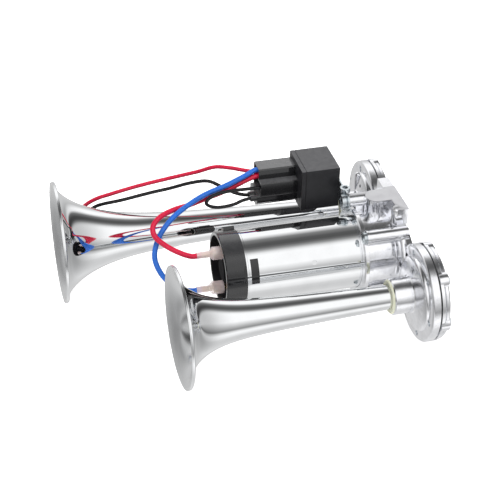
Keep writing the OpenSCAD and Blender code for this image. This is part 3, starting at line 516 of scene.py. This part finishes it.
def make_finishes(colours):
    """Every material of the object, by its record slot."""
    def tint(name):
        return tuple(getattr(colours, name))

    return {
        "chrome": mirror_chrome("mirror_chrome", tint("chrome")),
        "bell_inside": mirror_chrome("bell_inside", scaled(tint("chrome"), 0.93), haze=0.2),
        "cast_alloy": polished_casting("polished_casting", tint("casting"), tint("satin")),
        "cap_plate": polished_casting("polished_cap", tint("casting"), tint("satin")),
        "seal_rubber": cream_rubber("cream_rubber", tint("seal")),
        "diaphragm_steel": plated("spring_steel", (0.66, 0.67, 0.69)),
        "gasket_rubber": moulded("gasket_rubber", (0.03, 0.03, 0.03), roughness=0.6),
        "zinc_steel": plated("zinc_plate", tint("zinc"), roughness=0.2, grain=500),
        "pump_steel": plated("ground_steel", (0.5, 0.5, 0.52), roughness=0.35, grain=800),
        "carbon": moulded("carbon", (0.02, 0.02, 0.022), roughness=0.55),
        "sintered_bronze": plated("sintered_bronze", (0.55, 0.38, 0.18), roughness=0.45, grain=2500),
        "flange_steel": polished_casting("bright_flange", tint("casting"), tint("satin")),
        # The dust_and_sheen amounts lighten the upward faces of the end cap, relay and socket: partly dust, partly
        # painted highlight.
        "cap_plastic": moulded(
            "satin_black", tint("cap"), roughness=0.2, dust_and_sheen=0.12, gloss=1.0, middle=CAP_MIDDLE),
        "ferrite": moulded("ferrite", (0.05, 0.05, 0.055), roughness=0.6),
        "shaft_steel": plated("shaft_steel", (0.7, 0.7, 0.72), roughness=0.2, grain=900),
        "core_steel": plated("core_laminations", (0.32, 0.34, 0.37), roughness=0.4, grain=1500),
        "copper": plated("enamelled_copper", (0.6, 0.22, 0.09), roughness=0.3, grain=900),
        "card_board": moulded("brush_card_board", (0.16, 0.08, 0.04), roughness=0.6),
        "contact_brass": plated("bright_brass", (0.80, 0.62, 0.30), roughness=0.22, grain=700),
        "clear_sleeve": clear_sleeve_finish("clear_sleeve_plastic", tint("sleeve")),
        "relay_plastic": moulded("relay_black", tint("relay"), roughness=0.38, dust_and_sheen=0.2),
        "socket_plastic": moulded(
            "socket_black", tint("socket"), roughness=0.16, dust_and_sheen=0.3, grain=1200, gloss=1.0),
        "blue_insulation": insulation("blue_insulation", tint("blue")),
        "red_insulation": insulation("crimson_insulation", tint("crimson")),
        "black_insulation": insulation("black_insulation", tint("black")),
        "tinned_copper": plated("tinned_copper", (0.72, 0.72, 0.72), roughness=0.25, grain=700),
    }


FINISHES = {}
SLOT_OF_NODE = {entry["node"]: entry["material_slot"] for entry in frame["record"]["subparts"]}
BODY_OF_NODE = {
    node: body for body, members in frame["record"]["behaviour"]["bodies"].items() for node in members}


def finish_of(slot):
    """The material of a record slot. All of them are made at the first call."""
    if not FINISHES:
        FINISHES.update(make_finishes(bpy.context.scene.air_horn_colours))
    return FINISHES[slot]


# Meshes

def new_piece(name, data):
    """A new object in the scene."""
    piece = bpy.data.objects.new(name, data)
    bpy.context.scene.collection.objects.link(piece)
    return piece


@contextlib.contextmanager
def editing(mesh, result=None):
    """Lends a mesh as a bmesh and writes it back at the end, or into another mesh."""
    work = bmesh.new()
    work.from_mesh(mesh)
    yield work
    work.to_mesh(result or mesh)
    work.free()


def smooth_faces(work):
    for face in work.faces:
        face.smooth = True


def smooth_by_angle(work, angle):
    """Smooth faces, with sharp edges where they turn by more than the angle."""
    smooth_faces(work)
    for edge in work.edges:
        edge.smooth = len(edge.link_faces) == 2 and edge.calc_face_angle(0) < angle


def set_out(piece, slot, body="housing", stands_for=()):
    """Gives a finished piece its material and its body, and hides the CAD nodes it stands for."""
    piece.data.materials.clear()
    piece.data.materials.append(finish_of(slot))
    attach(piece, body)
    if stands_for:
        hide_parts(*stands_for)
    return piece


def round_edges(piece, width, crease=CREASE, segments=2):
    """Rounds every edge that turns by more than the crease angle."""
    bevel = piece.modifiers.new("rounded edges", "BEVEL")
    bevel.width = width
    bevel.segments = segments
    bevel.limit_method = "ANGLE"
    bevel.angle_limit = math.radians(crease)
    bevel.harden_normals = True
    bevel.miter_outer = "MITER_ARC"


def dressed_copy(node, edge=0.0, crease=CREASE, segments=2):
    """A welded, smooth copy of a CAD node with rounded edges, which stands for it."""
    mesh = bpy.data.meshes.new(node + "_dressed")
    with editing(frame["nodes"][node].data, mesh) as work:
        bmesh.ops.remove_doubles(work, verts=work.verts, dist=WELD)
        bmesh.ops.dissolve_limit(
            work, angle_limit=math.radians(FLAT_ANGLE), verts=work.verts, edges=work.edges,
            use_dissolve_boundaries=False)
        smooth_by_angle(work, math.radians(crease))
    piece = new_piece(node + "_dressed", mesh)
    if edge:
        round_edges(piece, edge, crease, segments)
    return set_out(piece, SLOT_OF_NODE[node], BODY_OF_NODE[node], (node,))


def dress_in_place(node):
    """A CAD node that keeps its mesh gets its material."""
    data = frame["nodes"][node].data
    data.materials.clear()
    data.materials.append(finish_of(SLOT_OF_NODE[node]))


# Shapes grown by Geometry Nodes

def socket_kind(value):
    """The kind of socket that takes a value."""
    if isinstance(value, bpy.types.Material):
        return "NodeSocketMaterial"
    return "NodeSocketInt" if isinstance(value, int) else "NodeSocketFloat"


def grown(name, tree_name, build, inputs):
    """Runs a Geometry Nodes tree with the given inputs and keeps the result as a plain mesh."""
    group = bpy.data.node_groups.new(tree_name, "GeometryNodeTree")
    for label, value in inputs.items():
        group.interface.new_socket(name=label, in_out="INPUT", socket_type=socket_kind(value))
    group.interface.new_socket(name="Shape", in_out="OUTPUT", socket_type="NodeSocketGeometry")
    tree = Tree(group)
    entry = group.nodes.new("NodeGroupInput")
    terms = {label: Term(tree, entry.outputs[label]) for label in inputs}
    shape = build(tree, terms)
    realized = tree.add("GeometryNodeRealizeInstances", None, {0: shape})
    painted = tree.add("GeometryNodeSetMaterial", None, {"Geometry": realized, "Material": terms["Finish"]})
    tree.add("NodeGroupOutput", None, {0: painted})
    holder = new_piece(name + "_seed", bpy.data.meshes.new(name + "_seed"))
    modifier = holder.modifiers.new("shape", "NODES")
    modifier.node_group = group
    for item in group.interface.items_tree:
        if item.in_out == "INPUT":
            modifier[item.identifier] = inputs[item.name]
    evaluated = holder.evaluated_get(bpy.context.evaluated_depsgraph_get())
    mesh = bpy.data.meshes.new_from_object(evaluated)
    mesh.name = name
    bpy.data.objects.remove(holder)
    bpy.data.node_groups.remove(group)
    return new_piece(name, mesh)


def at_head(tree, terms, shape):
    """Carries a shape round the X axis to its head, turned outwards by the splay."""
    return tree.moved(shape, tree.vector(y=terms["Y"], z=terms["Z"]), tree.vector(z=-terms["Splay"]))


def horn_sheet(tree, terms):
    """The sheet of a trumpet: a grid rolled round X by the bell's radius rule."""
    grid = tree.add(
        "GeometryNodeMeshGrid", None,
        {"Size X": 1.0, "Size Y": 1.0, "Vertices X": terms["Rings"], "Vertices Y": terms["Sides"]})
    along, around, _ = tree.split(grid.output("UV Map"))
    length = terms["Reach"] + terms["Tube end"]
    far = (along ** RING_CROWDING) * length
    bloom = terms["Mouth"] - terms["Tube"] - terms["Taper"] * length - terms["Lip swell"]
    radius = (
        terms["Tube"] + terms["Taper"] * (length - far)
        + bloom * (-(far / terms["Flare"])).maths("EXPONENT")
        + terms["Lip swell"] * (-(far / terms["Lip length"])).maths("EXPONENT"))
    angle = around * math.tau
    spot = tree.vector(far - terms["Reach"], radius * angle.maths("COSINE"), radius * angle.maths("SINE"))
    rolled = tree.add("GeometryNodeSetPosition", None, {"Geometry": grid, "Position": spot})
    closed = tree.add("GeometryNodeMergeByDistance", None, {"Geometry": rolled, "Distance": SEAM})
    return at_head(tree, terms, closed)


def mouth_bead(tree, terms):
    """The bead rolled on a mouth."""
    ring = tree.add(
        "GeometryNodeCurvePrimitiveCircle", None,
        {"Resolution": terms["Sides"], "Radius": terms["Mouth"] - terms["Bead"]})
    section = tree.add(
        "GeometryNodeCurvePrimitiveCircle", None, {"Resolution": BEAD_SIDES, "Radius": terms["Bead"]})
    tube = tree.add("GeometryNodeCurveToMesh", None, {"Curve": ring, "Profile Curve": section})
    spot = tree.vector(x=terms["Bead"] * 0.5 - terms["Reach"])
    return at_head(tree, terms, tree.moved(tube, spot, (0, math.pi / 2, 0)))


def screw(tree, terms):
    """A screw along Z, its seat at 0: a domed head with a cross recess, and a shank below it."""
    across, along, up = tree.split(tree.add("GeometryNodeInputPosition"))
    disc = tree.add(
        "GeometryNodeMeshCylinder", {"fill_type": "TRIANGLE_FAN"},
        {"Vertices": HEAD_POINTS, "Side Segments": 1, "Fill Segments": HEAD_RINGS, "Radius": terms["Head"],
         "Depth": terms["Rise"]})
    spread = (across ** 2 + along ** 2) / (terms["Head"] ** 2)
    lift = tree.vector(z=(up > 0.0) * (1 - spread) * terms["Dome"] - (up > 0.0) * terms["Dome"])
    domed = tree.add("GeometryNodeSetPosition", None, {"Geometry": disc, "Offset": lift})
    head = tree.moved(domed, tree.vector(z=terms["Rise"] * 0.5))
    rod = tree.add(
        "GeometryNodeMeshCylinder", None,
        {"Vertices": SHANK_POINTS, "Radius": terms["Shank"], "Depth": terms["Length"] + SHANK_LAP * 2})
    shank = tree.moved(rod, tree.vector(z=terms["Length"] * -0.5 + SHANK_LAP))
    body = tree.boolean("UNION", {"Mesh 2": (head, shank)})
    cuts = []
    for wide, deep in (("Slot width", "Slot length"), ("Slot length", "Slot width")):
        size = tree.vector(terms[wide], terms[deep], terms["Slot depth"] * 2)
        bar = tree.add("GeometryNodeMeshCube", None, {"Size": size})
        cuts.append(tree.moved(bar, tree.vector(z=terms["Rise"])))
    return tree.boolean("DIFFERENCE", {"Mesh 1": body, "Mesh 2": tuple(cuts)})


def screw_ring(tree, terms):
    """Screws on a circle round X, one on each of its corners."""
    circle = tree.add("GeometryNodeMeshCircle", None, {"Vertices": terms["Count"], "Radius": terms["Circle"]})
    turn = tree.vector(z=tree.add("GeometryNodeInputIndex") / terms["Count"] * math.tau)
    screws = tree.add(
        "GeometryNodeInstanceOnPoints", None, {"Points": circle, "Instance": screw(tree, terms), "Rotation": turn})
    turned = tree.moved(screws, rotation=tree.vector(z=terms["Phase"]))
    tilt = tree.vector(y=terms["Facing"] * (math.pi / 2))
    return at_head(tree, terms, tree.moved(turned, tree.vector(x=terms["Seat"]), tilt))


def make_screws(node, y, z, splay, facing, ring):
    """A ring of screws that stands for a CAD node, as long as the node, or as its unturned twin when splayed.

    Facing is 1.0 for heads that look along +X, or -1.0.
    """
    low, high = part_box("front_head_screws" if splay else node)
    reach = high[0] if facing > 0 else -low[0]
    rise = ring["rise"]
    slot_width, slot_length, slot_depth = ring["slot"]
    screws = grown(node + "_ring", "screw ring", screw_ring, {
        "Head": ring["head"], "Rise": rise, "Dome": rise * DOME_SHARE, "Shank": ring["shank"],
        "Length": (high[0] - low[0]) - rise, "Slot width": slot_width, "Slot length": slot_length,
        "Slot depth": slot_depth, "Count": ring["count"], "Circle": ring["circle"],
        "Phase": math.radians(90 + ring["first"] * facing), "Facing": facing, "Seat": (reach - rise) * facing,
        "Y": y, "Z": z, "Splay": splay, "Finish": finish_of("zinc_steel"),
    })
    with editing(screws.data) as work:
        smooth_by_angle(work, math.radians(CREASE))
    round_edges(screws, bpy.context.scene.air_horn_sizes.metal_edge)
    return set_out(screws, "zinc_steel", "housing", (node,))


def make_trumpet(node, y, reach, mouth, flare, taper, lip, splay):
    """A trumpet's sheet, which stands for a CAD node, and the bead on its mouth."""
    sizes = bpy.context.scene.air_horn_sizes
    shared = {
        "Reach": reach, "Mouth": mouth, "Sides": BELL_SIDES, "Y": y, "Z": TRUMPET_Z, "Splay": splay,
        "Finish": finish_of("chrome"),
    }
    sheet = grown(node + "_sheet", "horn sheet", horn_sheet, {
        **shared, "Rings": BELL_RINGS, "Tube": sizes.tube_radius, "Tube end": sizes.tube_end, "Flare": flare,
        "Taper": taper, "Lip swell": lip, "Lip length": sizes.lip_length,
    })
    with editing(sheet.data) as work:
        bmesh.ops.recalc_face_normals(work, faces=work.faces)
        outward = sum(
            (face.calc_center_median().yz - Vector((y, TRUMPET_Z))).dot(face.normal.yz) for face in work.faces)
        if outward < 0:
            bmesh.ops.reverse_faces(work, faces=work.faces)
        smooth_faces(work)
    wall = sheet.modifiers.new("sheet", "SOLIDIFY")
    wall.thickness = sizes.sheet
    wall.offset = -1.0
    wall.material_offset = 1
    set_out(sheet, "chrome", "housing", (node,))
    sheet.data.materials.append(finish_of("bell_inside"))

    bead = grown(node + "_bead", "mouth bead", mouth_bead, {**shared, "Bead": sizes.bead_radius})
    with editing(bead.data) as work:
        bmesh.ops.remove_doubles(work, verts=work.verts, dist=SEAM)
        bmesh.ops.recalc_face_normals(work, faces=work.faces)
        smooth_faces(work)
    set_out(bead, "chrome")


# Leads

def smooth_path(route, parts=6):
    """Points in metres along a smooth curve through the route."""
    points = [Vector(point) * MM for point in route]
    ends = [2 * points[0] - points[1], *points, 2 * points[-1] - points[-2]]
    path = []
    for index in range(1, len(ends) - 2):
        before, start, end, after = ends[index - 1:index + 3]
        gap = (end - start).length
        leave = (end - before) / ((start - before).length + gap) * gap
        arrive = (after - start) / ((after - end).length + gap) * gap
        for part in range(parts):
            u = part / parts
            path.append(
                start * (2 * u**3 - 3 * u**2 + 1) + leave * (u**3 - 2 * u**2 + u)
                + end * (3 * u**2 - 2 * u**3) + arrive * (u**3 - u**2))
    return path + [points[-1]]


def make_lead(node, route, diameter, slot):
    """A lead that stands for a CAD node."""
    path = smooth_path(route)
    line = bpy.data.curves.new(node + "_cord", "CURVE")
    line.dimensions = "3D"
    line.bevel_depth = diameter / 2
    line.bevel_resolution = 5
    line.use_fill_caps = True
    spline = line.splines.new("POLY")
    spline.points.add(len(path) - 1)
    for point, place in zip(spline.points, path):
        point.co = (*place, 1)
    spline.use_smooth = True
    piece = new_piece(node + "_cord", line)
    set_out(piece, slot, "housing", (node,))
    length = sum((after - before).length for before, after in zip(path, path[1:]))


# Operators

class AIRHORN_OT_leads(bpy.types.Operator):
    """Makes the five leads with what is on their ends."""

    bl_idname = "airhorn.leads"
    bl_label = "Leads"

    def execute(self, context):
        sizes = context.scene.air_horn_sizes
        sleeves = [dressed_copy(name) for name in ("upper_sleeve", "lower_sleeve")]
        spades = [dressed_copy(name, sizes.metal_edge) for name in ("upper_spade", "lower_spade")]
        rings = [dressed_copy(name, sizes.metal_edge) for name in ("red_ring_terminal", "black_ring_terminal")]
        make_lead("blue_motor_lead", BLUE_ROUTE, sizes.motor_lead, "blue_insulation")
        make_lead("red_motor_lead", RED_ROUTE, sizes.motor_lead, "red_insulation")
        make_lead("black_loop_lead", LOOP_ROUTE, sizes.loop, "black_insulation")
        make_lead("red_supply_lead", RED_SUPPLY_ROUTE, sizes.red_supply, "red_insulation")
        make_lead("black_supply_lead", BLACK_SUPPLY_ROUTE, sizes.black_supply, "black_insulation")
        return {"FINISHED"}


class AIRHORN_OT_trumpets(bpy.types.Operator):
    """Makes the two trumpets and their seals."""

    bl_idname = "airhorn.trumpets"
    bl_label = "Trumpets"

    def execute(self, context):
        sizes = context.scene.air_horn_sizes
        make_trumpet(
            "long_trumpet", REAR_Y, sizes.long_reach, sizes.long_mouth, sizes.long_flare, sizes.long_taper,
            sizes.long_lip, sizes.long_splay)
        make_trumpet(
            "short_trumpet", FRONT_Y, sizes.short_reach, sizes.short_mouth, sizes.short_flare, sizes.short_taper,
            sizes.short_lip, 0.0)
        for node in ("long_trumpet_seal", "short_trumpet_seal"):
            dressed_copy(node, sizes.moulded_edge)
        return {"FINISHED"}


class AIRHORN_OT_casting(bpy.types.Operator):
    """Dresses the casting, the caps, the flange and the bracket, and makes the rings of screws."""

    bl_idname = "airhorn.casting"
    bl_label = "Casting and heads"

    def execute(self, context):
        sizes = context.scene.air_horn_sizes
        dressed_copy("manifold", sizes.cast_edge, CAST_CREASE)
        for node in ("rear_head_cap", "front_head_cap"):
            dressed_copy(node, sizes.cap_edge, CAST_CREASE)
        make_screws("rear_head_screws", REAR_Y, TRUMPET_Z, sizes.long_splay, 1.0, HEAD_SCREWS)
        make_screws("front_head_screws", FRONT_Y, TRUMPET_Z, 0.0, 1.0, HEAD_SCREWS)
        make_screws("flange_screws", 0.0, MOTOR_Z, 0.0, -1.0, FLANGE_SCREWS)
        for node in ("bracket_screw", "relay_bracket", "motor_flange"):
            dressed_copy(node, sizes.metal_edge)
        return {"FINISHED"}


class AIRHORN_OT_motor(bpy.types.Operator):
    """Dresses the motor can, its end cap and its terminals."""

    bl_idname = "airhorn.motor"
    bl_label = "Motor"

    def execute(self, context):
        sizes = context.scene.air_horn_sizes
        dressed_copy("motor_can", sizes.metal_edge)
        dressed_copy("motor_end_cap", sizes.moulded_edge)
        dressed_copy("motor_terminals", sizes.metal_edge)
        return {"FINISHED"}


class AIRHORN_OT_relay(bpy.types.Operator):
    """Dresses the relay and its socket."""

    bl_idname = "airhorn.relay"
    bl_label = "Relay"

    def execute(self, context):
        sizes = context.scene.air_horn_sizes
        dressed_copy("relay", sizes.moulded_edge * 2, segments=4)
        dressed_copy("relay_socket", sizes.moulded_edge)
        return {"FINISHED"}


class AIRHORN_OT_inside(bpy.types.Operator):
    """Gives the inner pieces, which keep their solids' meshes, their materials."""

    bl_idname = "airhorn.inside"
    bl_label = "Inner pieces"

    def execute(self, context):
        for name, node in frame["nodes"].items():
            if not node.hide_render:
                dress_in_place(name)
        return {"FINISHED"}


# Studio

def camera_matrix(place, azimuth, elevation, roll):
    """A camera at a place, looking as the azimuth and elevation say, in degrees."""
    a, e, r = (math.radians(angle) for angle in (azimuth, elevation, roll))
    back = Vector((-math.sin(a) * math.cos(e), -math.cos(a) * math.cos(e), math.sin(e)))
    right = Vector((math.cos(a), -math.sin(a), 0))
    up = back.cross(right)
    turned_right = math.cos(r) * right + math.sin(r) * up
    turned_up = -math.sin(r) * right + math.cos(r) * up
    matrix = Matrix((turned_right, turned_up, back)).transposed().to_4x4()
    matrix.translation = Vector(place)
    return matrix


def make_camera(look):
    """The photo's camera."""
    camera = new_piece("studio_camera", bpy.data.cameras.new("studio_camera"))
    camera.data.lens = look.lens
    camera.data.sensor_width = SENSOR_WIDTH
    camera.data.clip_start = 0.01
    camera.matrix_world = camera_matrix(CAMERA_PLACE, CAMERA_AZIMUTH, CAMERA_ELEVATION, CAMERA_ROLL)
    return camera


def make_floor(look):
    """White paper, lit a little from within so that it shows as pure white."""
    mesh = bpy.data.meshes.new("studio_floor")
    corners = [(-FLOOR_REACH, -FLOOR_REACH), (FLOOR_REACH, -FLOOR_REACH), (FLOOR_REACH, FLOOR_REACH),
               (-FLOOR_REACH, FLOOR_REACH)]
    mesh.from_pydata(
        [(x, y, FLOOR_SLOPE * (x - FLOOR_START_X) - FLOOR_GAP) for x, y in corners], [], [(0, 1, 2, 3)])
    tint = tuple(look.floor)
    mesh.materials.append(new_finish(
        "floor_paper", {"Specular IOR Level": 0.1, "Emission Color": (1, 1, 1, 1), "Emission Strength": 0.75},
        Base_Color=lambda t: t.shade(t.noise(8), tint, scaled(tint, 0.99)),
        Roughness=lambda t: 0.8 + t.noise(20) * 0.1))
    floor = new_piece("studio_floor", mesh)
    floor.visible_glossy = False


def make_soft_box(look):
    """The light overhead."""
    light = new_piece("soft_box", bpy.data.lights.new("soft_box", "AREA"))
    light.data.shape = "RECTANGLE"
    light.data.size = SOFT_BOX_SIDE
    light.data.size_y = SOFT_BOX_SIDE
    light.data.energy = look.soft_box
    light.location = SOFT_BOX_PLACE
    light.visible_glossy = False


def make_world(look):
    """The room that the chrome reflects: bands of brightness round the long axis, darker at both of its ends."""
    world = bpy.data.worlds.new("studio_world")
    world.use_nodes = True
    world.node_tree.nodes.clear()
    tree = Tree(world.node_tree)
    side, ahead, height = tree.split(tree.add("ShaderNodeTexCoord", out="Generated"))
    turn = height.maths("ARCTAN2", -ahead)
    right = (side - DRIFT_FROM).maths("MAXIMUM", 0.0)
    drift = right * look.ceiling_drift * turn.step(*DRIFT_RISE) * (1 - turn.step(*DRIFT_FALL))
    place = (turn - drift) * (0.5 / math.pi) + 0.5
    stops = [((angle + 180) / 360, (level,) * 3) for angle, level in ROOM_BANDS]
    bands = tree.add("ShaderNodeValToRGB", {"stops": stops}, {0: place})
    walls = look.walls * (1 - ((-side).step(*MOUTH_END) + side.step(*HEAD_END)) * look.end_shade)
    dull = tree.add("ShaderNodeLightPath", out="Is Diffuse Ray")
    sky = tree.add(
        "ShaderNodeBackground", None, {"Color": bands, "Strength": walls * (1 - dull * (1 - look.fill))})
    tree.add("ShaderNodeOutputWorld", None, {"Surface": sky})
    return world


class AIRHORN_OT_studio(bpy.types.Operator):
    """Makes the floor, the light, the room and the camera."""

    bl_idname = "airhorn.studio"
    bl_label = "Studio"

    def execute(self, context):
        look = context.scene.air_horn_studio
        context.scene.camera = make_camera(look)
        context.scene.view_settings.view_transform = "Standard"
        make_floor(look)
        make_soft_box(look)
        context.scene.world = make_world(look)
        return {"FINISHED"}


class AIRHORN_PT_panel(bpy.types.Panel):
    """Lists the sizes, the colours and the pieces."""

    bl_idname = "AIRHORN_PT_panel"
    bl_label = "Air horn"
    bl_space_type = "VIEW_3D"
    bl_region_type = "UI"
    bl_category = "Air horn"

    def draw(self, context):
        for group in (context.scene.air_horn_sizes, context.scene.air_horn_colours, context.scene.air_horn_studio):
            box = self.layout.box()
            for name in type(group).__annotations__:
                box.prop(group, name)
        for operator in OPERATORS:
            self.layout.operator(operator.bl_idname)


OPERATORS = (
    AIRHORN_OT_studio, AIRHORN_OT_leads, AIRHORN_OT_trumpets, AIRHORN_OT_casting, AIRHORN_OT_motor, AIRHORN_OT_relay,
    AIRHORN_OT_inside,
)
CLASSES = (HornSizes, HornColours, StudioLook, *OPERATORS, AIRHORN_PT_panel)


def register():
    for item in CLASSES:
        bpy.utils.register_class(item)
    bpy.types.Scene.air_horn_sizes = bpy.props.PointerProperty(type=HornSizes)
    bpy.types.Scene.air_horn_colours = bpy.props.PointerProperty(type=HornColours)
    bpy.types.Scene.air_horn_studio = bpy.props.PointerProperty(type=StudioLook)


def unregister():
    del bpy.types.Scene.air_horn_studio
    del bpy.types.Scene.air_horn_colours
    del bpy.types.Scene.air_horn_sizes
    for item in reversed(CLASSES):
        bpy.utils.unregister_class(item)


def main():
    register()
    for step in (
            bpy.ops.airhorn.studio, bpy.ops.airhorn.leads, bpy.ops.airhorn.trumpets, bpy.ops.airhorn.casting,
            bpy.ops.airhorn.motor, bpy.ops.airhorn.relay, bpy.ops.airhorn.inside):
        step()


if __name__ == "__main__":
    main()
